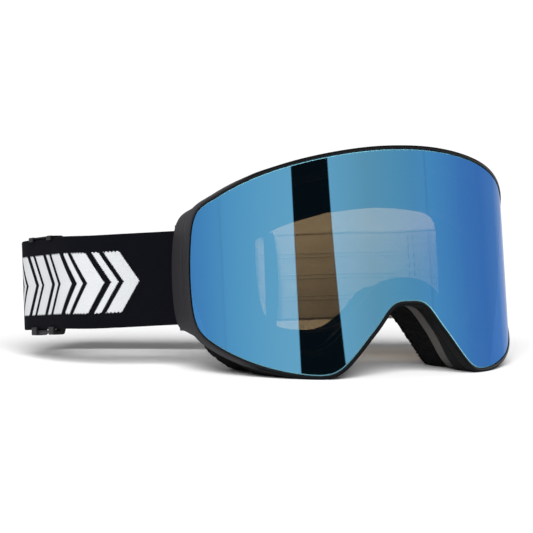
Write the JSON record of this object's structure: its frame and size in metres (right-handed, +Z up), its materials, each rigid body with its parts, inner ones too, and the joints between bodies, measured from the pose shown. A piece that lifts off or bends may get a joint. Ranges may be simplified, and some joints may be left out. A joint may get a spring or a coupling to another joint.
{
  "type": "ski goggles",
  "caption": "Ski goggles with a tall cylindrical mirror lens in a thin rim, a deep soft frame, layered face foam and a wide elastic strap with slide adjusters.",
  "frame": {"origin": "middle of the lens's front face, on the goggles' mid-plane", "axes": "+Z up as the goggles stand on a table, -Y forwards through the lens, +X to the wearer's left; the goggles lean back 7.5 degrees and the table is at z = -51 mm"},
  "size_m": [0.208, 0.1789, 0.1007],
  "materials": {
    "outer_lens": "blue mirror coat over a brown tint, gloss",
    "spacer_foam": "closed-cell foam, matt black",
    "inner_lens": "clear, anti-fog coat",
    "rim": "satin black moulding",
    "magnet": "nickel plated",
    "frame_shell": "charcoal moulding, fine satin grain",
    "flange": "soft black moulding",
    "vent_foam": "open-cell foam",
    "foam_base": "firm grey-brown foam",
    "foam_middle": "soft black foam",
    "fleece": "brushed black fleece",
    "strap_bar": "drawn steel",
    "webbing": "woven elastic, black with a white geometric band",
    "thread": "polyester thread",
    "silicone": "clear silicone lines",
    "adjuster": "black acetal"
  },
  "bodies": {
    "frame": {"frame_body": "frame_shell", "frame_magnets": "magnet", "face_flange": "flange", "top_vent_foam": "vent_foam", "bottom_vent_foams": "vent_foam", "face_foam_base": "foam_base", "face_foam_middle": "foam_middle", "face_fleece": "fleece", "strap_bar_right": "strap_bar", "strap_bar_left": "strap_bar"},
    "lens": {"outer_lens": "outer_lens", "lens_spacer_gasket": "spacer_foam", "inner_lens": "inner_lens", "lens_rim": "rim", "lens_magnets": "magnet"},
    "strap": {"strap_band": "webbing", "strap_grip_lines": "silicone"},
    "strap_end_right": {"strap_loop_right": "webbing", "stitching_right": "thread"},
    "strap_end_left": {"strap_loop_left": "webbing", "stitching_left": "thread"},
    "adjuster_right": {"adjuster_frame_right": "adjuster", "adjuster_tab_right": "webbing", "tab_stitching_right": "thread"},
    "adjuster_left": {"adjuster_frame_left": "adjuster", "adjuster_tab_left": "webbing", "tab_stitching_left": "thread"}
  },
  "joints": [
    {"name": "lens_release", "type": "slide", "parent": "frame", "child": "lens", "axis": [0, -0.9914, 0.1305], "range_m": [0, 0.04], "stiffness_N_per_m": 20},
    {"name": "strap_tilt", "type": "hinge", "parent": "frame", "child": "strap", "pos_m": [0, 0.07704, -0.01014], "axis": [1, 0, 0], "range_deg": [-8, 27], "stiffness_Nm_per_rad": 0.3},
    {"name": "strap_end_turn_right", "type": "hinge", "parent": "frame", "child": "strap_end_right", "pos_m": [-0.0752, 0.07704, -0.01014], "axis": [0, 0.1305, 0.9914], "range_deg": [-12, 4], "stiffness_Nm_per_rad": 0.02},
    {"name": "strap_end_turn_left", "type": "hinge", "parent": "frame", "child": "strap_end_left", "pos_m": [0.0752, 0.07704, -0.01014], "axis": [0, 0.1305, 0.9914], "range_deg": [-12, 6], "stiffness_Nm_per_rad": 0.02},
    {"name": "adjuster_slide_right", "type": "slide", "parent": "strap", "child": "adjuster_right", "axis": [-0.1392, 0.9863, -0.088], "range_m": [-0.004, 0.004]},
    {"name": "adjuster_slide_left", "type": "slide", "parent": "strap", "child": "adjuster_left", "axis": [0.8738, -0.4844, 0.0432], "range_m": [-0.05, 0.04]}
  ]
}
